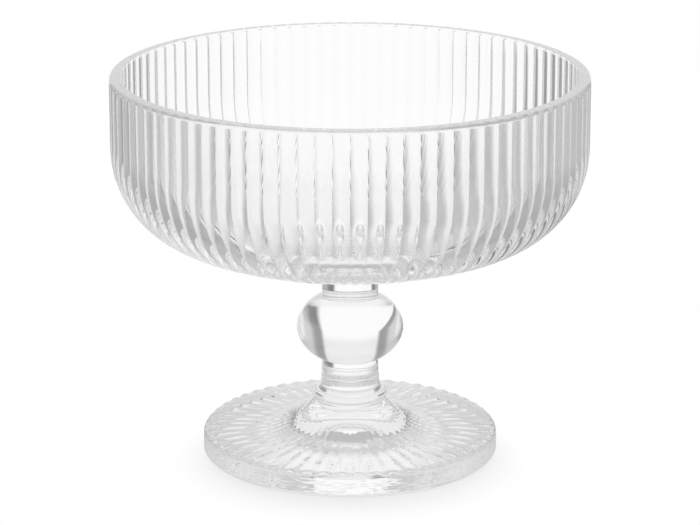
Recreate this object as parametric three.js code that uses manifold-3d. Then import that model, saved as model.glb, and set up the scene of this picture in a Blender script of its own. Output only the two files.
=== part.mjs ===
// Footed ice cream cup in clear pressed glass: a reeded bowl on a knopped stem and a round foot.
// Millimetres, +Z up, origin at the centre of the base. The five bits of glass are stacked on the
// axis and meet face to face on the flat discs where they were fused hot.

import * as THREE from 'three';
import { mergeVertices } from 'three/addons/utils/BufferGeometryUtils.js';
import Module from 'manifold-3d';

// The whole cup, from the table to the rim.
const cupHeight = 98.6;

// Bowl: the radius is over the rib crests. The straight part of its side takes up the cup's height.
const bowlRadius = 60;
const wallThickness = 3;
const floorThickness = 4.5;
const shoulderRadius = 25;
const shoulderSweepDegrees = 70;
const lipRounding = 0.6;

// Bowl ribs: convex reeds parted by narrow grooves, which run out just under the lip.
const bowlRibCount = 90;
const bowlGrooveDepth = 0.53;
const ribRunOut = 1.4;
const bareBaseRadius = 12;

// Stem: two necks of one radius with a flattened ball between them.
const neckRadius = 7.2;
const upperNeckHeight = 8.5;
const knopRadius = 13.6;
const knopHalfHeight = 9.75;
const lowerNeckHeight = 10.8;

// Foot of the lower neck: a beaded collar, a cone above it, and a small step up to the plain neck.
const collarRadius = 9.4;
const collarEdge = 0.4;
const collarMiddle = 0.9;
const collarHeight = 2.8;
const coneRadius = 8.15;
const coneTop = 5.3;
const neckStepHeight = 6.5;
const neckStep = 0.25;

// Foot: a disc with a rounded edge, whose top turns up to the boss that carries the collar.
const footRadius = 37.6;
const footEdgeHeight = 6.1;
const footEdgeRounding = 1.8;
const baseBevel = 0.8;
const bossRadius = 9.3;
const bossHeight = 13.4;
const skirtRadius = 24;
const skirtRise = 0.4;
const skirtTurnRadius = 14.5;

// Underside of the foot: a narrow ring to stand on, a very shallow cone, and a low dome in the middle.
const standingRingWidth = 1.6;
const undersideRise = 0.6;
const domeRadius = 13;
const domeHeight = 3;

// Foot ribs: soft reeds on top of the foot, which fade up the skirt and towards the edge.
const footRibCount = 54;
const footGrooveDepth = 0.26;
const footRibStart = 16;
const footRibEnd = 35;

// Facets round the axis, and the share of a rib's pitch from a groove's bottom to its edge.
const stemFacets = 48;
const bowlInsideFacets = 90;
const grooveHalfShare = 0.3;

const WELD_DISTANCE = 1e-4;
const FULL_TURN = 2 * Math.PI;

const wasm = await Module();
wasm.setup();

const glass = new THREE.MeshStandardMaterial({
  color: 0xf1f4f3,
  roughness: 0.03,
  metalness: 0,
  transparent: true,
  opacity: 0.4,
});

function at(radius, height) {
  return new THREE.Vector2(radius, height);
}

function arc(centreRadius, centreHeight, radius, fromAngle, toAngle, steps) {
  const curve = new THREE.EllipseCurve(centreRadius, centreHeight, radius, radius, fromAngle, toAngle);
  return curve.getPoints(steps);
}

function bend(from, corner, to, steps) {
  return new THREE.QuadraticBezierCurve(from, corner, to).getPoints(steps);
}

// Columns of a smooth body, evenly spaced round the axis.
function smoothColumns(count) {
  return Array.from({ length: count }, (_, i) => ({ angle: (FULL_TURN * i) / count, groove: 0 }));
}

// Three columns for each rib: the bottom of a groove, then the two edges of the rib beside it.
function ribbedColumns(ribCount) {
  const pitch = FULL_TURN / ribCount;
  const columns = [];
  for (let rib = 0; rib < ribCount; rib++) {
    columns.push({ angle: rib * pitch, groove: 1 });
    columns.push({ angle: (rib + grooveHalfShare) * pitch, groove: 0 });
    columns.push({ angle: (rib + 1 - grooveHalfShare) * pitch, groove: 0 });
  }
  return columns;
}

// Unit normals of an outline, pointing away from the body that it bounds.
function outlineNormals(outline) {
  return outline.map((_, i) => {
    const before = outline[Math.max(i - 1, 0)];
    const after = outline[Math.min(i + 1, outline.length - 1)];
    const along = after.clone().sub(before).normalize();
    return at(along.y, -along.x);
  });
}

function withoutSlivers(geometry) {
  const welded = mergeVertices(geometry, WELD_DISTANCE);
  const corners = [];
  const index = welded.index.array;
  for (let i = 0; i < index.length; i += 3) {
    const [a, b, c] = index.slice(i, i + 3);
    if (a !== b && b !== c && c !== a) {
      corners.push(a, b, c);
    }
  }
  welded.setIndex(corners);
  return welded;
}

// A body turned about Z. Its outline runs from the axis, up the outside and back to the axis, as
// (radius, height) points. grooveDepth(point) says how far a groove column is sunk at that point.
function turned(outline, columns, grooveDepth = () => 0) {
  const rows = outline.filter((point, i) => i === 0 || point.distanceTo(outline[i - 1]) > WELD_DISTANCE);
  const normals = outlineNormals(rows);
  const geometry = new THREE.LatheGeometry(rows, columns.length);
  geometry.deleteAttribute('normal');
  geometry.deleteAttribute('uv');
  const position = geometry.attributes.position;
  for (let vertex = 0; vertex < position.count; vertex++) {
    const { angle, groove } = columns[Math.floor(vertex / rows.length) % columns.length];
    const row = vertex % rows.length;
    const sunk = groove * grooveDepth(rows[row]);
    const point = rows[row].clone().addScaledVector(normals[row], -sunk);
    position.setXYZ(vertex, point.x * Math.sin(angle), point.y, point.x * Math.cos(angle));
  }
  geometry.rotateX(Math.PI / 2);
  return withoutSlivers(geometry);
}

function solid(geometry) {
  return new wasm.Manifold(
    new wasm.Mesh({
      numProp: 3,
      vertProperties: new Float32Array(geometry.attributes.position.array),
      triVerts: new Uint32Array(geometry.index.array),
    }),
  );
}

function cut(body, tool) {
  const mesh = solid(body).subtract(solid(tool)).getMesh();
  const geometry = new THREE.BufferGeometry();
  geometry.setAttribute('position', new THREE.BufferAttribute(mesh.vertProperties, 3));
  geometry.setIndex(new THREE.BufferAttribute(mesh.triVerts, 1));
  return geometry;
}

// The bowl's side: a shallow round base, a tight shoulder that runs tangent into it, a straight wall.
// It is given for any radius and shoulder, so that the inside follows the outside.
function bowlSide(radius, shoulder, straight, rimHeight) {
  const sweep = THREE.MathUtils.degToRad(shoulderSweepDegrees);
  const shoulderCentre = rimHeight - straight;
  const baseRadius = (radius - shoulder * (1 - Math.cos(sweep))) / Math.cos(sweep);
  const baseCentre = shoulderCentre + (baseRadius - shoulder) * Math.sin(sweep);
  return { radius, shoulder, straight, rimHeight, sweep, shoulderCentre, baseRadius, baseCentre };
}

function bowlSidePoints(side, startRadius) {
  const startAngle = -Math.acos(startRadius / side.baseRadius);
  return [
    ...arc(0, side.baseCentre, side.baseRadius, startAngle, -side.sweep, 4),
    ...arc(side.radius - side.shoulder, side.shoulderCentre, side.shoulder, -side.sweep, 0, 5),
  ];
}

// Height of a bowl side's base above its rim level, where the base reaches the given radius.
function baseLevel(side, radius) {
  return side.baseCentre - Math.sqrt(side.baseRadius ** 2 - radius ** 2);
}

// The knop is a flattened ball, cut flat above and below where it has narrowed to the necks.
const knopCutAngle = Math.acos(neckRadius / knopRadius);
const knopHeight = 2 * knopHalfHeight * Math.sin(knopCutAngle);

const bowlHeight = cupHeight - bossHeight - lowerNeckHeight - knopHeight - upperNeckHeight;
const wallHeight = bowlHeight + baseLevel(bowlSide(bowlRadius, shoulderRadius, 0, 0), neckRadius);
const lip = Math.min(lipRounding, wallThickness / 2.5);
const ribTop = bowlHeight - lip;

function bowlGrooveDepthAt(point) {
  const nearRim = THREE.MathUtils.smoothstep(ribTop - point.y, 0, ribRunOut);
  const nearNeck = THREE.MathUtils.smoothstep(point.x, neckRadius, bareBaseRadius);
  return (bowlGrooveDepth * nearRim * nearNeck * point.x) / bowlRadius;
}

function bowlBody() {
  const outside = bowlSide(bowlRadius, shoulderRadius, wallHeight, bowlHeight);
  return turned(
    [
      at(0, 0),
      at(neckRadius, 0),
      ...bowlSidePoints(outside, bareBaseRadius),
      at(bowlRadius, ribTop - ribRunOut),
      ...bend(at(bowlRadius, ribTop), at(bowlRadius, bowlHeight), at(bowlRadius - lip, bowlHeight), 2),
      at(0, bowlHeight),
    ],
    ribbedColumns(bowlRibCount),
    bowlGrooveDepthAt,
  );
}

// The hollow of the bowl, taken past the rim so that the cut leaves the mouth open.
function bowlHollow() {
  const radius = bowlRadius - wallThickness;
  const shoulder = shoulderRadius - wallThickness;
  const depth = bowlHeight - floorThickness;
  const straight = depth + baseLevel(bowlSide(radius, shoulder, 0, 0), 0);
  const inside = bowlSide(radius, shoulder, straight, bowlHeight);
  const mouth = radius + lip;
  return turned(
    [
      ...bowlSidePoints(inside, 0),
      ...bend(at(radius, bowlHeight - lip), at(radius, bowlHeight), at(mouth, bowlHeight), 2),
      at(mouth, bowlHeight + lip),
      at(0, bowlHeight + lip),
    ],
    smoothColumns(bowlInsideFacets),
  );
}

function upperNeckBody() {
  return turned(
    [at(0, 0), at(neckRadius, 0), at(neckRadius, upperNeckHeight), at(0, upperNeckHeight)],
    smoothColumns(stemFacets),
  );
}

function knopBody() {
  const middle = knopHeight / 2;
  const side = new THREE.EllipseCurve(0, middle, knopRadius, knopHalfHeight, -knopCutAngle, knopCutAngle);
  return turned([at(0, 0), ...side.getPoints(10), at(0, knopHeight)], smoothColumns(stemFacets));
}

function lowerNeckBody() {
  const stepRadius = neckRadius + neckStep;
  const widest = at(collarRadius, collarMiddle);
  const coneFoot = at(coneRadius, collarHeight);
  return turned(
    [
      at(0, 0),
      at(collarRadius - collarEdge, 0),
      ...bend(widest, at(collarRadius, collarHeight), coneFoot, 3),
      at(stepRadius, coneTop),
      at(stepRadius, neckStepHeight),
      at(neckRadius, neckStepHeight + neckStep),
      at(neckRadius, lowerNeckHeight),
      at(0, lowerNeckHeight),
    ],
    smoothColumns(stemFacets),
  );
}

function footGrooveDepthAt(point) {
  const nearBoss = THREE.MathUtils.smoothstep(point.x, bossRadius, footRibStart);
  const nearEdge = 1 - THREE.MathUtils.smoothstep(point.x, footRibEnd, footRadius);
  const onTop = THREE.MathUtils.smoothstep(point.y, footEdgeHeight - footEdgeRounding, footEdgeHeight);
  return (footGrooveDepth * nearBoss * nearEdge * onTop * point.x) / footRadius;
}

function footBody() {
  const flatRadius = footRadius - footEdgeRounding;
  const edgeStart = at(footRadius, footEdgeHeight - footEdgeRounding);
  const flatEnd = at(flatRadius, footEdgeHeight);
  const skirt = at(skirtRadius, footEdgeHeight + skirtRise);
  const turn = at(skirtTurnRadius, footEdgeHeight + 2 * skirtRise);
  return turned(
    [
      at(0, 0),
      at(footRadius - baseBevel, 0),
      at(footRadius, baseBevel),
      ...bend(edgeStart, at(footRadius, footEdgeHeight), flatEnd, 3),
      flatEnd.clone().lerp(skirt, (flatRadius - footRibEnd) / (flatRadius - skirtRadius)),
      ...bend(skirt, turn, at(bossRadius, bossHeight), 5),
      at(0, bossHeight),
    ],
    ribbedColumns(footRibCount),
    footGrooveDepthAt,
  );
}

function footHollow() {
  const ringRadius = footRadius - baseBevel - standingRingWidth;
  const onCone = (radius) => at(radius, (undersideRise * (ringRadius - radius)) / (ringRadius - domeRadius));
  const domeTop = undersideRise + domeHeight;
  const domeMiddle = at(domeRadius / 2, undersideRise + domeHeight / 2);
  return turned(
    [
      at(0, -undersideRise),
      at(ringRadius, -undersideRise),
      onCone(ringRadius),
      ...bend(onCone(domeRadius), onCone(0.75 * domeRadius), domeMiddle, 3),
      ...bend(domeMiddle, at(domeRadius / 4, domeTop), at(0, domeTop), 3),
    ],
    smoothColumns(2 * footRibCount),
  );
}

// The bits of glass from the base up, each standing on the one before it.
const stack = [
  { name: 'foot', geometry: cut(footBody(), footHollow()), height: bossHeight },
  { name: 'lower_neck', geometry: lowerNeckBody(), height: lowerNeckHeight },
  { name: 'knop', geometry: knopBody(), height: knopHeight },
  { name: 'upper_neck', geometry: upperNeckBody(), height: upperNeckHeight },
  { name: 'bowl', geometry: cut(bowlBody(), bowlHollow()), height: bowlHeight },
];

const cup = new THREE.Group();
let seat = 0;
for (const { name, geometry, height } of stack) {
  const mesh = new THREE.Mesh(geometry, glass);
  mesh.name = name;
  mesh.position.z = seat;
  cup.add(mesh);
  seat += height;
}

export default cup;
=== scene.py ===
"""Footed ice cream cup in clear pressed glass: reeded bowl, knopped stem and a foot with ribs on top.

Each piece is drawn as an outline, spun about the cup's axis, and has its ribs pressed in.
"""

import math

import bpy
from bpy.props import FloatProperty, FloatVectorProperty, IntProperty, PointerProperty
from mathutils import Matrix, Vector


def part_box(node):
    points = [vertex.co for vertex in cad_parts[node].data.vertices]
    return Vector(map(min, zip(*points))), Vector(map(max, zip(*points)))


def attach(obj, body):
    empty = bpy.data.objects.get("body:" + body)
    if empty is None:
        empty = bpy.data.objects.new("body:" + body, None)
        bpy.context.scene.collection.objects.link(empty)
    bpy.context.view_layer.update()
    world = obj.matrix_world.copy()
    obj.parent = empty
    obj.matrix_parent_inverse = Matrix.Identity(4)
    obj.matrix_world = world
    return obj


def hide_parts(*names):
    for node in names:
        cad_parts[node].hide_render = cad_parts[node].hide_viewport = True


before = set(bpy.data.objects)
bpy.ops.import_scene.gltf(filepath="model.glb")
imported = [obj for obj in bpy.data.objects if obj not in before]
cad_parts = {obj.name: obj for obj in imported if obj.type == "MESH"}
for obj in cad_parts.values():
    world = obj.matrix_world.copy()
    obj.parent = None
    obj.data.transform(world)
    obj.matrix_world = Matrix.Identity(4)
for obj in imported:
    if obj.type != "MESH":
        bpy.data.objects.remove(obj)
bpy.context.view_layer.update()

bl_info = {
    "name": "Footed Ice Cream Cup",
    "version": (1, 0, 0),
    "blender": (4, 5, 0),
    "location": "3D View > Sidebar > Cup",
    "description": "Models a reeded glass cup on a knopped stem, piece by piece, and sets its studio",
    "category": "Add Mesh",
}

MM = 0.001
FULL_TURN = 2 * math.pi
QUARTER_TURN = math.pi / 2
BODY = "root"
ORIGIN = (0.0, 0.0, 0.0)
AXIS = (0.0, 0.0, 1.0)
WHITE = (1.0, 1.0, 1.0, 1.0)

# Points closer than WELD become one, and points closer than ON_PLANE to a joint's plane lie in it.
WELD = 0.002 * MM
ON_PLANE = 0.004 * MM

# Facets round the smooth pieces, and the sharpest bend that is shaded smooth.
STEM_FACETS = 144
SMOOTH_BEND = math.radians(38.0)

# Where half a rib has its points, from the crest to the groove, closest together at the groove.
RIB_STEPS = (0.0, 0.3, 0.55, 0.75, 0.89, 1.0)

# Camera, fitted to the photo: metres, radians, and millimetres for the lens and the sensor.
CAMERA_PLACE = (0.0, -0.7574, 0.2757)
CAMERA_TILT = 0.2906
CAMERA_LENS = 160.3
CAMERA_SENSOR = 36.0

# The floor lies just below the foot. BOUNCES is how often light may be bent or mirrored by the glass.
FLOOR_WIDTH = 6.0
FLOOR_GAP = 0.1 * MM
BOUNCES = 32

# Where the five bits of glass sit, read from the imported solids.
FOOT_LOW, FOOT_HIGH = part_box("foot")
LOWER_NECK_LOW, LOWER_NECK_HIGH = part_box("lower_neck")
KNOP_LOW, KNOP_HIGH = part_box("knop")
UPPER_NECK_LOW, UPPER_NECK_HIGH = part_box("upper_neck")
BOWL_LOW, BOWL_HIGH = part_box("bowl")


def length(name, description, default):
    """A size in metres, shown with the scene's units."""
    return FloatProperty(
        name=name, description=description, default=default, min=0.0, precision=5, unit="LENGTH"
    )


def angle(name, description, degrees):
    """An angle, given here in degrees."""
    return FloatProperty(name=name, description=description, default=math.radians(degrees), subtype="ANGLE")


def share(name, description, default):
    return FloatProperty(
        name=name, description=description, default=default, min=0.0, max=1.0, subtype="FACTOR"
    )


def number(name, description, default):
    return FloatProperty(name=name, description=description, default=default, min=1.0, subtype="UNSIGNED")


def count(name, description, default):
    return IntProperty(name=name, description=description, default=default, min=3, subtype="UNSIGNED")


class BowlSizes(bpy.types.PropertyGroup):
    """Sizes of the bowl"""

    radius: length("Radius", "Radius over the crests of the ribs", BOWL_HIGH.y)
    wall: length("Wall", "Thickness of the side", 3.0 * MM)
    floor: length("Floor", "Thickness of the bottom on the axis", 4.5 * MM)
    shoulder: length("Shoulder", "Radius of the bend from the side to the base", 25.0 * MM)
    sweep: angle("Shoulder sweep", "How far the shoulder turns before the base starts", 70.0)
    lip: length("Lip", "Rounding of the outer edge of the rim", 0.9 * MM)
    inner_lip: length("Inner lip", "Rounding of the inner edge of the rim", 0.12 * MM)
    rib_count: count("Ribs", "Number of ribs round the bowl", 90)
    groove: length("Groove depth", "Depth of the grooves between the ribs", 0.53 * MM)
    flatness: number("Rib flatness", "How flat the rib crests are", 2.1)
    run_out: length("Run-out", "Length in which the grooves fade below the lip", 0.5 * MM)
    bare_base: length("Bare base", "Radius inside which the grooves on the base fade out", 12.0 * MM)


class StemSizes(bpy.types.PropertyGroup):
    """Sizes of the two necks and the knop"""

    neck: length("Neck", "Radius of the necks", UPPER_NECK_HIGH.x)
    knop: length("Knop", "Largest radius of the knop", KNOP_HIGH.x)
    knop_half: length("Knop half height", "Half height of the ball that the knop is cut from", 9.75 * MM)
    collar: length("Collar", "Largest radius of the beaded collar", LOWER_NECK_HIGH.x)
    collar_edge: length("Collar edge", "How far the collar draws in to its joint with the foot", 0.4 * MM)
    collar_middle: length("Collar middle", "Height at which the collar is widest", 0.9 * MM)
    collar_top: length("Collar top", "Height of the top of the collar", 2.8 * MM)
    cone: length("Cone", "Radius of the lower neck on top of the collar", 8.15 * MM)
    cone_top: length("Cone top", "Height at which the lower neck has narrowed", 5.3 * MM)
    step_height: length("Step height", "Height of the small step in the lower neck", 6.5 * MM)
    step: length("Step", "How far the lower neck stands out below its step", 0.25 * MM)
    ring_height: length("Ring height", "Height of the faint ring above the step", 8.8 * MM)
    ring: length("Ring", "How far the neck stands out below the faint ring", 0.1 * MM)


class FootSizes(bpy.types.PropertyGroup):
    """Sizes of the foot"""

    radius: length("Radius", "Radius of the foot", FOOT_HIGH.y)
    edge_height: length("Edge height", "Height of the top of the edge", 6.1 * MM)
    edge_round: length("Edge rounding", "Rounding of the upper edge", 1.8 * MM)
    base_bevel: length("Base bevel", "Rounding of the lower edge", 0.8 * MM)
    boss: length("Boss", "Radius of the top of the boss", 9.3 * MM)
    skirt: length("Skirt", "Radius at which the top starts to rise to the boss", 24.0 * MM)
    skirt_rise: length("Skirt rise", "How far the top has risen at the skirt", 0.4 * MM)
    skirt_turn: length("Skirt turn", "Radius about which the skirt turns upwards", 14.5 * MM)
    ring: length("Standing ring", "Width of the smooth ring that the foot stands on", 1.6 * MM)
    rise: length("Rise", "How far the underside rises from the ring to the dome", 0.6 * MM)
    dome: length("Dome", "Height of the dome in the middle of the underside", 3.0 * MM)
    dome_radius: length("Dome radius", "Radius of the dome", 13.0 * MM)
    rib_count: count("Ribs", "Number of ribs on top of the foot", 54)
    groove: length("Groove depth", "Depth of the grooves between the ribs, at the edge", 0.42 * MM)
    rib_start: length("Rib start", "Radius on the skirt from which the ribs are full", 20.0 * MM)
    rib_end: length("Rib end", "Radius at which the ribs start to fade towards the edge", 36.9 * MM)


class GlassLook(bpy.types.PropertyGroup):
    """The finish of the glass"""

    tint: FloatVectorProperty(
        name="Tint",
        description="Colour of the least clear glass",
        subtype="COLOR",
        size=3,
        default=(0.985, 0.99, 0.987),
        min=0.0,
        max=1.0,
    )
    index: number("Refractive index", "How strongly the glass bends light", 1.5)
    ripple_size: length("Ripple size", "Distance from ripple to ripple in the stem and bowl", 14.0 * MM)
    ripple_depth: length("Ripple depth", "Depth of the ripples in the stem and bowl", 0.02 * MM)
    foot_ripple_size: length("Foot ripple size", "Distance from ripple to ripple in the foot", 4.0 * MM)
    foot_ripple_depth: length("Foot ripple depth", "Depth of the ripples at the foot's base", 0.14 * MM)
    foot_top: length("Foot top", "Height from which the ripples in the foot are faint", 4.8 * MM)
    foot_top_share: share("Foot top share", "How much of the ripples is left from there up", 0.2)


class StudioLook(bpy.types.PropertyGroup):
    """The studio as the glass sees it, with the cup's shadow painted on the floor under it, and the cup's
    shadow on the white floor
    """

    screen_middle: angle("Screen middle", "Turn of the white screen's middle, from straight behind", -0.6)
    screen_half: angle("Screen half", "Half the width of the white screen behind the cup", 23.4)
    screen_soft: angle("Screen softness", "How soft the edges of the screen are", 2.5)
    screen_apex: length("Screen apex", "How far in front of the cup its edges would meet", 42.0 * MM)
    screen_aside: length("Screen aside", "How far to the left of the cup that place is", 17.0 * MM)
    screen_level: share("Screen level", "Brightness of the upright part of the screen", 0.86)
    screen_rise: angle("Screen rise", "Height at which the screen has dimmed to that level", 10.0)
    edge_width: angle("Edge width", "Width of the dim strips at the edges of the screen", 10.0)
    edge_soft: angle("Edge softness", "How softly the strips turn into the sides", 7.5)
    edge_level: share("Edge level", "Brightness of the dim strips far from the cup", 0.3)
    edge_near_level: share("Near edge level", "Brightness of the dim strips near the cup", 0.2)
    floor_level: share("Floor side level", "Brightness of the floor at the sides, far from the cup", 0.54)
    floor_near_level: share("Near floor level", "Brightness of the floor at the sides, near the cup", 0.42)
    near: length("Near", "Distance up to which the floor counts as near the cup", 70.0 * MM)
    far: length("Far", "Distance from which the floor counts as far from the cup", 400.0 * MM)
    side_level: share("Side level", "Brightness of the studio at the sides", 0.6)
    front_from: angle("Front from", "Where the side of the studio ends and its front starts", 110.0)
    front_soft: angle("Front softness", "How softly the sides turn into the front", 15.0)
    front_level: share("Front level", "Brightness of the studio in front of the cup", 0.9)
    top_from: angle("Top from", "Height at which the screen ends", 38.0)
    top_to: angle("Top to", "Height at which the top of the studio starts", 50.0)
    top_level: share("Top level", "Brightness of the studio's top", 0.66)
    lamp_from: angle("Lamp from", "Height of the lower edge of the lamp behind the cup", 45.0)
    lamp_to: angle("Lamp to", "Height of the upper edge of the lamp", 60.0)
    lamp_half: angle("Lamp half", "Half the width of the lamp", 55.0)
    lamp_level: share("Lamp level", "Brightness of the lamp", 1.0)
    # Bowl front down to Middle set the painted shadow of the cup on the floor under it, as the glass sees
    # it.
    bowl_front: share("Bowl front", "Brightness of the floor under the front of the bowl", 0.55)
    bowl_back: share("Bowl back", "Brightness of the floor under the back of the bowl", 0.92)
    bowl_side: share("Bowl side", "Brightness of the floor under the sides of the bowl", 0.5)
    bowl_middle: length("Bowl middle", "How far out the sides of the floor under the bowl start", 15.0 * MM)
    bowl_aside: length("Bowl aside", "How far out they have their own brightness", 45.0 * MM)
    bowl_from: length("Bowl from", "Where the floor under the bowl starts to end", 56.0 * MM)
    bowl_to: length("Bowl to", "Where the floor under the bowl has ended", 66.0 * MM)
    foot_front: share("Foot front", "Brightness of the floor under the front of the foot", 0.94)
    foot_back: share("Foot back", "Brightness of the floor under the back of the foot", 0.64)
    foot_side: share("Foot side", "Brightness of the floor under the sides of the foot", 0.55)
    foot_middle: length("Foot middle", "How far out the sides of the floor under the foot start", 10.0 * MM)
    foot_aside: length("Foot aside", "How far out they have their own brightness", 30.0 * MM)
    foot_from: length("Foot from", "Where the floor under the foot starts to end", 34.0 * MM)
    foot_to: length("Foot to", "Where the floor under the foot has ended", 42.0 * MM)
    stem_back: share("Stem back", "Brightness of the floor under the back of the stem", 1.0)
    stem_side: share("Stem side", "Brightness of the rest of the floor under the stem", 0.5)
    stem_soft: angle("Stem softness", "How softly the one turns into the other", 10.0)
    stem_from: length("Stem from", "Where the floor under the stem starts to end", 12.0 * MM)
    stem_to: length("Stem to", "Where the floor under the stem has ended", 22.0 * MM)
    middle: length("Middle", "Half the depth in which the floor goes from front to back", 20.0 * MM)
    shadow_share: share("Shadow share", "How much of the floor's white takes the cup's shadow", 0.45)
    shadow_place: length("Shadow place", "How far in front of the axis the shadow's middle lies", 10.0 * MM)
    shadow_from: length("Shadow from", "Where the shadow on the floor starts to fade", 30.0 * MM)
    shadow_to: length("Shadow to", "Where the shadow on the floor has faded", 47.0 * MM)


# Outlines: lists of (radius, height) points from the axis, up the outside and back to the axis.

def arc(centre, radii, from_angle, to_angle, steps):
    """Points on an arc of an ellipse."""
    points = []
    for step in range(steps + 1):
        turn = from_angle + (to_angle - from_angle) * step / steps
        points.append((centre[0] + radii[0] * math.cos(turn), centre[1] + radii[1] * math.sin(turn)))
    return points


def bend(start, corner, end, steps):
    """Points on a bend that leaves start and reaches end in line with the corner."""
    points = []
    for step in range(steps + 1):
        t = step / steps
        weights = ((1 - t) ** 2, 2 * t * (1 - t), t * t)
        places = (start, corner, end)
        points.append(tuple(sum(w * p[axis] for w, p in zip(weights, places)) for axis in (0, 1)))
    return points


def line(start, end, steps):
    return bend(start, ((start[0] + end[0]) / 2, (start[1] + end[1]) / 2), end, steps)


def smoothstep(value, low, high):
    t = min(max((value - low) / (high - low), 0.0), 1.0)
    return t * t * (3 - 2 * t)


def raised(points, height):
    return [(radius, level + height) for radius, level in points]


# Steps of modelling that the pieces share.

def draw_outline(name, outline):
    """Starts a piece as a chain of edges along its outline, extruded point by point."""
    bpy.ops.object.select_all(action="DESELECT")
    bpy.ops.mesh.primitive_plane_add(size=MM, location=ORIGIN)
    piece = bpy.context.active_object
    piece.name = name
    piece.data.name = name
    bpy.ops.object.mode_set(mode="EDIT")
    bpy.ops.mesh.select_mode(type="VERT")
    bpy.ops.mesh.select_all(action="SELECT")
    bpy.ops.mesh.merge(type="CENTER")
    points = [outline[0]]
    for point in outline[1:]:
        if math.dist(point, points[-1]) > WELD:
            points.append(point)
    bpy.ops.transform.translate(value=(points[0][0], 0.0, points[0][1]))
    for before, after in zip(points, points[1:]):
        move = (after[0] - before[0], 0.0, after[1] - before[1])
        bpy.ops.mesh.extrude_region_move(TRANSFORM_OT_translate={"value": move})
    return piece


def spin_steps(turns):
    """Spins the outline through a row of turns about the cup's axis."""
    bpy.ops.mesh.select_all(action="SELECT")
    for turn in turns:
        bpy.ops.mesh.spin(steps=1, angle=turn, center=ORIGIN, axis=AXIS)


def close_seams():
    bpy.ops.mesh.select_all(action="SELECT")
    bpy.ops.mesh.remove_doubles(threshold=WELD)
    bpy.ops.mesh.normals_make_consistent(inside=False)


def near_outline(points):
    """A test for whether a point of a spun piece came from one of these outline points."""
    cells = {(round(radius / WELD), round(height / WELD)) for radius, height in points}

    def test(point):
        across, up = round(point.xy.length / WELD), round(point.z / WELD)
        return any((across + i, up + j) in cells for i in (-1, 0, 1) for j in (-1, 0, 1))

    return test


def press_grooves(piece, depth, weight_at):
    """Sinks the piece along its normals, by the depth times the weight at each point."""
    group = piece.vertex_groups.new(name="grooves")
    for vertex in piece.data.vertices:
        group.add([vertex.index], weight_at(vertex.co), "REPLACE")
    press = piece.modifiers.new("grooves", "DISPLACE")
    press.vertex_group = group.name
    press.mid_level = 0.0
    press.strength = -depth
    bpy.ops.object.modifier_apply(modifier=press.name)
    piece.vertex_groups.clear()


def rib_turns(ribs):
    """Turns through one rib, from crest to crest."""
    half = FULL_TURN / ribs / 2
    turns = [half * (after - before) for before, after in zip(RIB_STEPS, RIB_STEPS[1:])]
    return turns + turns[::-1]


def groove_share(point, ribs, flatness):
    """0 on a rib's crest and 1 in the groove half a pitch further on."""
    pitch = FULL_TURN / ribs
    across = (math.atan2(point.y, point.x) % pitch) / pitch
    return (1.0 - abs(2.0 * across - 1.0)) ** flatness


def ribbed_piece(name, outline, ribs, depth, weight_at):
    """One rib is spun, pressed and then copied round the axis."""
    piece = draw_outline(name, outline)
    spin_steps(rib_turns(ribs))
    bpy.ops.mesh.select_all(action="SELECT")
    bpy.ops.mesh.remove_doubles(threshold=WELD)
    bpy.ops.object.mode_set(mode="OBJECT")
    press_grooves(piece, depth, weight_at)
    bpy.ops.object.mode_set(mode="EDIT")
    bpy.ops.mesh.select_all(action="SELECT")
    copies = ribs - 1
    turn = FULL_TURN * copies / ribs
    bpy.ops.mesh.spin(steps=copies, angle=turn, center=ORIGIN, axis=AXIS, dupli=True)
    close_seams()
    bpy.ops.object.mode_set(mode="OBJECT")
    return piece


def smooth_piece(name, outline):
    piece = draw_outline(name, outline)
    spin_steps([FULL_TURN / STEM_FACETS] * STEM_FACETS)
    close_seams()
    bpy.ops.object.mode_set(mode="OBJECT")
    return piece


def dress(piece, node, joints, glass):
    """Finishes a piece: its glass, clear joint faces, smooth shading, and its place in the frame."""
    piece.data.materials.append(glass)
    piece.data.materials.append(fused_joint())
    for face in piece.data.polygons:
        corners = [piece.data.vertices[index].co for index in face.vertices]
        for height, radius in joints:
            if all(abs(co.z - height) < ON_PLANE and co.xy.length < radius + ON_PLANE for co in corners):
                face.material_index = 1
    bpy.ops.object.shade_smooth_by_angle(angle=SMOOTH_BEND)
    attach(piece, BODY)
    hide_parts(node)


# Nodes that the materials share.

def calculate(tree, operation, first, second=0.0):
    """A maths node; its inputs are numbers or other nodes' outputs."""
    node = tree.nodes.new("ShaderNodeMath")
    node.operation = operation
    for socket, value in zip(node.inputs, (first, second)):
        if isinstance(value, float):
            socket.default_value = value
        else:
            tree.links.new(value, socket)
    return node.outputs["Value"]


def ramp(tree, value, low, high, before, after):
    """Goes smoothly from one level to another as the value passes from low to high."""
    node = tree.nodes.new("ShaderNodeMapRange")
    node.interpolation_type = "SMOOTHSTEP"
    tree.links.new(value, node.inputs["Value"])
    for name, setting in (("From Min", low), ("From Max", high), ("To Min", before), ("To Max", after)):
        if isinstance(setting, float):
            node.inputs[name].default_value = setting
        else:
            tree.links.new(setting, node.inputs[name])
    return node.outputs["Result"]


def axes_of(tree, place):
    node = tree.nodes.new("ShaderNodeSeparateXYZ")
    tree.links.new(place, node.inputs["Vector"])
    return node.outputs


def distance_from(tree, place, point):
    node = tree.nodes.new("ShaderNodeVectorMath")
    node.operation = "DISTANCE"
    tree.links.new(place, node.inputs[0])
    node.inputs[1].default_value = point
    return node.outputs["Value"]


def mix_shaders(tree, amount, first, second):
    node = tree.nodes.new("ShaderNodeMixShader")
    tree.links.new(amount, node.inputs["Fac"])
    tree.links.new(first, node.inputs[1])
    tree.links.new(second, node.inputs[2])
    return node.outputs["Shader"]


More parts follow.
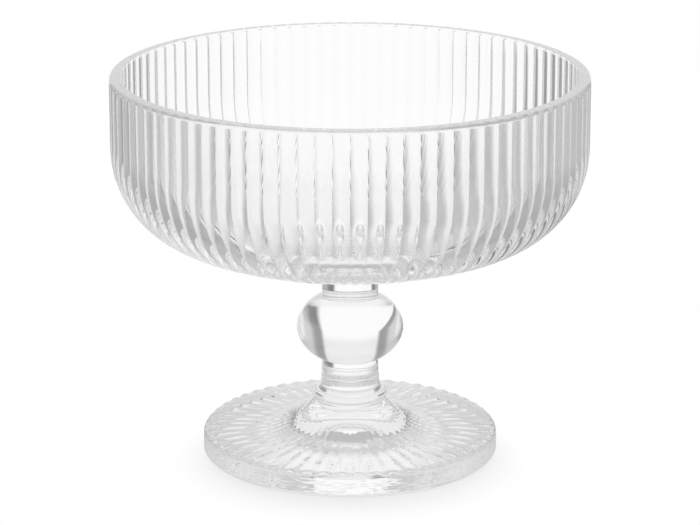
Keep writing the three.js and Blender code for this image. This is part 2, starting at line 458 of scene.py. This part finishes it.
def through_glass(tree):
    """1 for what is seen through the glass or mirrored in it, and 0 for the rest."""
    path = tree.nodes.new("ShaderNodeLightPath")
    return calculate(tree, "MAXIMUM", path.outputs["Is Glossy Ray"], path.outputs["Is Transmission Ray"])


# Glass.

def pressed_glass(name, look, ripple_size, ripple_depth, top_share):
    """Clear glass, faintly uneven in tint, with ripples that lessen to the top share up the foot's side."""
    if name in bpy.data.materials:
        return bpy.data.materials[name]
    material = bpy.data.materials.new(name)
    material.use_nodes = True
    tree = material.node_tree
    shader = tree.nodes["Principled BSDF"]
    shader.inputs["Roughness"].default_value = 0.0
    shader.inputs["IOR"].default_value = look.index
    shader.inputs["Transmission Weight"].default_value = 1.0
    place = tree.nodes.new("ShaderNodeTexCoord").outputs["Object"]
    cords = tree.nodes.new("ShaderNodeTexNoise")
    cords.inputs["Scale"].default_value = 1.0 / ripple_size
    cords.inputs["Detail"].default_value = 1.0
    tree.links.new(place, cords.inputs["Vector"])
    tint = tree.nodes.new("ShaderNodeMix")
    tint.data_type = "RGBA"
    tint.inputs["A"].default_value = (*look.tint, 1.0)
    tint.inputs["B"].default_value = WHITE
    tree.links.new(cords.outputs["Fac"], tint.inputs["Factor"])
    tree.links.new(tint.outputs["Result"], shader.inputs["Base Color"])
    ripple = tree.nodes.new("ShaderNodeBump")
    ripple.inputs["Strength"].default_value = 1.0
    ripple.inputs["Distance"].default_value = ripple_depth
    amount = ramp(tree, axes_of(tree, place)["Z"], 0.0, look.foot_top, 1.0, top_share)
    tree.links.new(calculate(tree, "MULTIPLY", cords.outputs["Fac"], amount), ripple.inputs["Height"])
    tree.links.new(ripple.outputs["Normal"], shader.inputs["Normal"])
    return material


def stem_and_bowl_glass():
    """Rippled alike all over."""
    look = bpy.context.scene.cup_glass
    return pressed_glass("pressed_glass", look, look.ripple_size, look.ripple_depth, 1.0)


def foot_glass():
    """Most rippled at its base."""
    look = bpy.context.scene.cup_glass
    size, depth = look.foot_ripple_size, look.foot_ripple_depth
    return pressed_glass("foot_glass", look, size, depth, look.foot_top_share)


def fused_joint():
    """Where two bits of glass were fused there is no surface left to see."""
    name = "fused_joint"
    if name in bpy.data.materials:
        return bpy.data.materials[name]
    material = bpy.data.materials.new(name)
    material.use_nodes = True
    nodes = material.node_tree.nodes
    nodes.remove(nodes["Principled BSDF"])
    clear = nodes.new("ShaderNodeBsdfTransparent")
    material.node_tree.links.new(clear.outputs["BSDF"], nodes["Material Output"].inputs["Surface"])
    return material


# Studio: white to the camera, and shaded to the glass, so that its forms show.

def off_middle_of(tree, across, back, look):
    """Angle from the middle of the screen."""
    turn = calculate(tree, "ARCTAN2", across, back)
    return calculate(tree, "ABSOLUTE", calculate(tree, "SUBTRACT", turn, look.screen_middle))


def studio_level(tree, off_middle, look, screen, edge, side):
    """How bright the studio is round the cup: a screen behind, strips at its edges, sides and a front."""
    half, soft, front = look.screen_half, look.screen_soft, look.front_from
    strip = half + look.edge_width
    level = ramp(tree, off_middle, half - soft, half + soft, screen, edge)
    level = ramp(tree, off_middle, strip - soft, strip + look.edge_soft, level, side)
    return ramp(tree, off_middle, front, front + look.front_soft, level, look.front_level)


def studio_world(look):
    """The screen, sides and front stand on the floor, with a lamp over the screen and a plain top."""
    world = bpy.data.worlds.new("studio")
    world.use_nodes = True
    tree = world.node_tree
    light = tree.nodes["Background"]
    light.inputs["Color"].default_value = WHITE
    axes = axes_of(tree, tree.nodes.new("ShaderNodeTexCoord").outputs["Generated"])
    up = axes["Z"]
    screen = ramp(tree, up, 0.0, math.sin(look.screen_rise), 1.0, look.screen_level)
    off_middle = off_middle_of(tree, axes["X"], axes["Y"], look)
    level = studio_level(tree, off_middle, look, screen, look.edge_level, look.side_level)
    level = ramp(tree, up, math.sin(look.top_from), math.sin(look.top_to), level, look.top_level)
    soft = look.screen_soft
    lamp = ramp(tree, off_middle, look.lamp_half - soft, look.lamp_half + soft, look.lamp_level, 0.0)
    lamp = ramp(tree, up, math.sin(look.lamp_from - soft), math.sin(look.lamp_from + soft), 0.0, lamp)
    lamp = ramp(tree, up, math.sin(look.lamp_to - soft), math.sin(look.lamp_to + soft), lamp, 0.0)
    level = calculate(tree, "MAXIMUM", level, lamp)
    tree.links.new(ramp(tree, through_glass(tree), 0.0, 1.0, 1.0, level), light.inputs["Strength"])
    return world


def painted_cup_shadow(tree, axes, away, look):
    """Painted shadow of the cup on the floor, as bright as the glass sees it there: rings under the stem,
    the foot and the bowl.
    """
    ahead, aside = axes["Y"], calculate(tree, "ABSOLUTE", axes["X"])
    bowl = ramp(tree, ahead, -look.middle, look.middle, look.bowl_front, look.bowl_back)
    bowl = ramp(tree, aside, look.bowl_middle, look.bowl_aside, bowl, look.bowl_side)
    foot = ramp(tree, ahead, -look.middle, look.middle, look.foot_front, look.foot_back)
    foot = ramp(tree, aside, look.foot_middle, look.foot_aside, foot, look.foot_side)
    half, soft = look.screen_half, look.stem_soft
    off_middle = off_middle_of(tree, axes["X"], ahead, look)
    stem = ramp(tree, off_middle, half - soft, half + soft, look.stem_back, look.stem_side)
    level = ramp(tree, away, look.stem_from, look.stem_to, stem, foot)
    return ramp(tree, away, look.foot_from, look.foot_to, level, bowl)


def floor_through_glass(tree, place, look):
    """How bright the glass sees the floor: the studio's zones run over it to the painted shadow of the cup
    under it.
    """
    axes = axes_of(tree, place)
    across = calculate(tree, "ADD", axes["X"], look.screen_aside)
    back = calculate(tree, "ADD", axes["Y"], look.screen_apex)
    away = distance_from(tree, place, ORIGIN)
    edge = ramp(tree, away, look.near, look.far, look.edge_near_level, look.edge_level)
    side = ramp(tree, away, look.near, look.far, look.floor_near_level, look.floor_level)
    level = studio_level(tree, off_middle_of(tree, across, back, look), look, 1.0, edge, side)
    # Painted shadow of the cup on the floor under it, seen only by the glass.
    painted_shadow_level = painted_cup_shadow(tree, axes, away, look)
    return ramp(tree, away, look.bowl_from, look.bowl_to, painted_shadow_level, level)


def floor_with_shadow(tree, place, look):
    """White floor that takes a soft shadow near the foot."""
    glow = tree.nodes.new("ShaderNodeEmission")
    matt = tree.nodes.new("ShaderNodeBsdfDiffuse")
    matt.inputs["Color"].default_value = WHITE
    away = distance_from(tree, place, (0.0, -look.shadow_place, 0.0))
    amount = ramp(tree, away, look.shadow_from, look.shadow_to, look.shadow_share, 0.0)
    return mix_shaders(tree, amount, glow.outputs["Emission"], matt.outputs["BSDF"])


def studio_floor(look):
    material = bpy.data.materials.new("studio_floor")
    material.use_nodes = True
    tree = material.node_tree
    tree.nodes.remove(tree.nodes["Principled BSDF"])
    place = tree.nodes.new("ShaderNodeTexCoord").outputs["Object"]
    # To the glass the floor glows with the studio's zones and a painted shadow of the cup under it.
    seen = tree.nodes.new("ShaderNodeEmission")
    tree.links.new(floor_through_glass(tree, place, look), seen.inputs["Strength"])
    plain = floor_with_shadow(tree, place, look)
    surface = mix_shaders(tree, through_glass(tree), plain, seen.outputs["Emission"])
    tree.links.new(surface, tree.nodes["Material Output"].inputs["Surface"])
    return material


# Pieces.

def bowl_side(radius, shoulder, start_radius, start_height, sweep):
    """Centres and radii of a bowl side: a round base from the start point, then a shoulder."""
    base_radius = (radius - shoulder * (1 - math.cos(sweep))) / math.cos(sweep)
    base_height = start_height + math.sqrt(base_radius**2 - start_radius**2)
    shoulder_height = base_height - (base_radius - shoulder) * math.sin(sweep)
    return {
        "shoulder": ((radius - shoulder, shoulder_height), (shoulder, shoulder)),
        "base": ((0.0, base_height), (base_radius, base_radius)),
    }


def bowl_outline(sizes, joint):
    low, rim = BOWL_LOW.z, BOWL_HIGH.z
    radius, lip, inner_lip, sweep = sizes.radius, sizes.lip, sizes.inner_lip, sizes.sweep
    outside = bowl_side(radius, sizes.shoulder, joint, low, sweep)
    inside_radius = radius - sizes.wall
    inside = bowl_side(inside_radius, sizes.shoulder - sizes.wall, 0.0, low + sizes.floor, sweep)
    start = -math.acos(joint / outside["base"][1][0])
    rib_top = (radius, rim - lip)
    run_out = (radius, rim - lip - sizes.run_out)
    inner_centre = (inside_radius + inner_lip, rim - inner_lip)
    points = [(0.0, low), (joint, low)]
    points += arc(*outside["base"], start, -sweep, steps=14)
    points += arc(*outside["shoulder"], -sweep, 0.0, steps=18)
    points += line(points[-1], run_out, steps=5)
    points += line(run_out, rib_top, steps=6)
    points += arc((radius - lip, rim - lip), (lip, lip), 0.0, QUARTER_TURN, steps=7)
    points += arc(inner_centre, (inner_lip, inner_lip), QUARTER_TURN, 2 * QUARTER_TURN, steps=7)
    points += arc(*inside["shoulder"], 0.0, -sweep, steps=16)
    points += arc(*inside["base"], -sweep, -QUARTER_TURN, steps=12)
    points[-1] = (0.0, points[-1][1])
    return points


class CUP_OT_bowl(bpy.types.Operator):
    """Model the reeded bowl"""

    bl_idname = "cup.bowl"
    bl_label = "Bowl"
    bl_options = {"REGISTER", "UNDO"}

    def execute(self, context):
        sizes = context.scene.cup_bowl
        joint = context.scene.cup_stem.neck
        rib_top = BOWL_HIGH.z - sizes.lip
        outline = bowl_outline(sizes, joint)
        lip_index = max(range(len(outline)), key=lambda index: outline[index][1])
        outside = near_outline(outline[:lip_index])

        def weight_at(point):
            if not outside(point):
                return 0.0
            radius = point.xy.length
            below_lip = min(max((rib_top - point.z) / sizes.run_out, 0.0), 1.0)
            fade = math.sqrt(below_lip) * smoothstep(radius, joint, sizes.bare_base)
            return groove_share(point, sizes.rib_count, sizes.flatness) * fade * radius / sizes.radius

        piece = ribbed_piece("glass_bowl", outline, sizes.rib_count, sizes.groove, weight_at)
        dress(piece, "bowl", [(BOWL_LOW.z, joint)], stem_and_bowl_glass())
        return {"FINISHED"}


class CUP_OT_knop(bpy.types.Operator):
    """Model the knop, the flattened ball of the stem"""

    bl_idname = "cup.knop"
    bl_label = "Knop"
    bl_options = {"REGISTER", "UNDO"}

    def execute(self, context):
        sizes = context.scene.cup_stem
        low, high = KNOP_LOW.z, KNOP_HIGH.z
        cut = math.acos(sizes.neck / sizes.knop)
        outline = [(0.0, low), (sizes.neck, low)]
        outline += arc((0.0, (low + high) / 2), (sizes.knop, sizes.knop_half), -cut, cut, steps=40)
        outline += [(sizes.neck, high), (0.0, high)]
        piece = smooth_piece("glass_knop", outline)
        dress(piece, "knop", [(low, sizes.neck), (high, sizes.neck)], stem_and_bowl_glass())
        return {"FINISHED"}


def collar_joint(sizes):
    """Radius of the disc on which the collar meets the foot's boss."""
    return sizes.collar - sizes.collar_edge


def lower_neck_outline(sizes, height):
    """Beaded collar, curved cone, small step, faint ring and plain neck, from the joint with the foot."""
    neck, step, ring = sizes.neck, sizes.step_height, sizes.ring_height
    wide, ringed = neck + sizes.step, neck + sizes.ring
    widest = (sizes.collar, sizes.collar_middle)
    cone_foot, cone_top = (sizes.cone, sizes.collar_top), (wide, sizes.cone_top)
    cone_bend = (wide, (sizes.collar_top + sizes.cone_top) / 2)
    points = [(0.0, 0.0)]
    points += bend((collar_joint(sizes), 0.0), (sizes.collar, 0.0), widest, steps=5)
    points += bend(widest, (sizes.collar, sizes.collar_top), cone_foot, steps=8)
    points += bend(cone_foot, cone_bend, cone_top, steps=6)
    points += bend((wide, step - sizes.step), (wide, step), (ringed, step), steps=3)
    points += bend((ringed, ring), (neck, ring), (neck, ring + sizes.step), steps=3)
    return points + [(neck, height), (0.0, height)]


class CUP_OT_necks(bpy.types.Operator):
    """Model the plain upper neck and the collared lower neck"""

    bl_idname = "cup.necks"
    bl_label = "Necks"
    bl_options = {"REGISTER", "UNDO"}

    def execute(self, context):
        sizes = context.scene.cup_stem
        neck = sizes.neck
        low, high = UPPER_NECK_LOW.z, UPPER_NECK_HIGH.z
        outline = [(0.0, low), *line((neck, low), (neck, high), steps=4), (0.0, high)]
        piece = smooth_piece("glass_upper_neck", outline)
        dress(piece, "upper_neck", [(low, neck), (high, neck)], stem_and_bowl_glass())

        low, high = LOWER_NECK_LOW.z, LOWER_NECK_HIGH.z
        outline = raised(lower_neck_outline(sizes, high - low), low)
        piece = smooth_piece("glass_lower_neck", outline)
        dress(piece, "lower_neck", [(low, collar_joint(sizes)), (high, neck)], stem_and_bowl_glass())
        return {"FINISHED"}


def foot_outline(sizes, joint, height):
    """Domed underside, standing ring, rounded edge, nearly flat top, and a skirt up to the boss."""
    radius, edge = sizes.radius, sizes.edge_height
    bevel, rounding = sizes.base_bevel, sizes.edge_round
    ring = radius - bevel - sizes.ring
    rise, dome, wide = sizes.rise, sizes.rise + sizes.dome, sizes.dome_radius
    quarter = wide / 4
    half_way = (2 * quarter, (rise + dome) / 2)
    on_slope = (3 * quarter, rise + quarter * rise / (ring - wide))
    skirt = (sizes.skirt, edge + sizes.skirt_rise)
    turn = (sizes.skirt_turn, edge + 2 * sizes.skirt_rise)
    points = bend((0.0, dome), (quarter, dome), half_way, steps=8)
    points += bend(half_way, on_slope, (wide, rise), steps=8)
    points += line((wide, rise), (ring, 0.0), steps=6)
    points += arc((radius - bevel, bevel), (bevel, bevel), -QUARTER_TURN, 0.0, steps=5)
    points += arc((radius - rounding, edge - rounding), (rounding, rounding), 0.0, QUARTER_TURN, steps=8)
    points += line((radius - rounding, edge), skirt, steps=12)
    points += bend(skirt, turn, (sizes.boss, height), steps=16)
    return points + [(joint, height), (0.0, height)]


class CUP_OT_foot(bpy.types.Operator):
    """Model the foot with its ribs on top"""

    bl_idname = "cup.foot"
    bl_label = "Foot"
    bl_options = {"REGISTER", "UNDO"}

    def execute(self, context):
        sizes = context.scene.cup_foot
        joint = collar_joint(context.scene.cup_stem)
        low, high = FOOT_LOW.z, FOOT_HIGH.z
        edge = low + sizes.edge_height

        def weight_at(point):
            radius = point.xy.length
            fade = smoothstep(radius, sizes.boss, sizes.rib_start)
            fade *= 1.0 - smoothstep(radius, sizes.rib_end, sizes.radius)
            fade *= smoothstep(point.z, edge - sizes.edge_round, edge)
            wave = smoothstep(groove_share(point, sizes.rib_count, 1.0), 0.0, 1.0)
            return wave * fade * (radius / sizes.radius) ** 2

        outline = raised(foot_outline(sizes, joint, high - low), low)
        piece = ribbed_piece("glass_foot", outline, sizes.rib_count, sizes.groove, weight_at)
        dress(piece, "foot", [(high, joint)], foot_glass())
        return {"FINISHED"}


class CUP_OT_stage(bpy.types.Operator):
    """Set the floor, the studio light and the camera"""

    bl_idname = "cup.stage"
    bl_label = "Stage"
    bl_options = {"REGISTER", "UNDO"}

    def execute(self, context):
        scene = context.scene
        look = scene.cup_studio
        scene.world = studio_world(look)
        bpy.ops.object.select_all(action="DESELECT")
        bpy.ops.mesh.primitive_plane_add(size=FLOOR_WIDTH, location=(0.0, 0.0, FOOT_LOW.z - FLOOR_GAP))
        floor = context.active_object
        floor.name = "studio_floor"
        floor.data.materials.append(studio_floor(look))
        bpy.ops.object.camera_add(location=CAMERA_PLACE, rotation=(QUARTER_TURN - CAMERA_TILT, 0.0, 0.0))
        scene.camera = context.active_object
        scene.camera.data.sensor_width = CAMERA_SENSOR
        scene.camera.data.lens = CAMERA_LENS
        scene.view_settings.view_transform = "Standard"
        scene.cycles.max_bounces = BOUNCES
        scene.cycles.glossy_bounces = BOUNCES
        scene.cycles.transmission_bounces = BOUNCES
        scene.cycles.transparent_max_bounces = BOUNCES
        return {"FINISHED"}


class CUP_PT_pieces(bpy.types.Panel):
    """The cup's pieces"""

    bl_idname = "CUP_PT_pieces"
    bl_label = "Ice cream cup"
    bl_space_type = "VIEW_3D"
    bl_region_type = "UI"
    bl_category = "Cup"

    def draw(self, context):
        for operator in OPERATORS:
            self.layout.operator(operator.bl_idname)


OPERATORS = (CUP_OT_foot, CUP_OT_necks, CUP_OT_knop, CUP_OT_bowl, CUP_OT_stage)
CLASSES = (BowlSizes, StemSizes, FootSizes, GlassLook, StudioLook, *OPERATORS, CUP_PT_pieces)


def register():
    for cls in CLASSES:
        bpy.utils.register_class(cls)
    bpy.types.Scene.cup_bowl = PointerProperty(type=BowlSizes)
    bpy.types.Scene.cup_stem = PointerProperty(type=StemSizes)
    bpy.types.Scene.cup_foot = PointerProperty(type=FootSizes)
    bpy.types.Scene.cup_glass = PointerProperty(type=GlassLook)
    bpy.types.Scene.cup_studio = PointerProperty(type=StudioLook)


def unregister():
    del bpy.types.Scene.cup_studio
    del bpy.types.Scene.cup_glass
    del bpy.types.Scene.cup_foot
    del bpy.types.Scene.cup_stem
    del bpy.types.Scene.cup_bowl
    for cls in reversed(CLASSES):
        bpy.utils.unregister_class(cls)


def main():
    register()
    bpy.ops.cup.foot()
    bpy.ops.cup.necks()
    bpy.ops.cup.knop()
    bpy.ops.cup.bowl()
    bpy.ops.cup.stage()


if __name__ == "__main__":
    main()
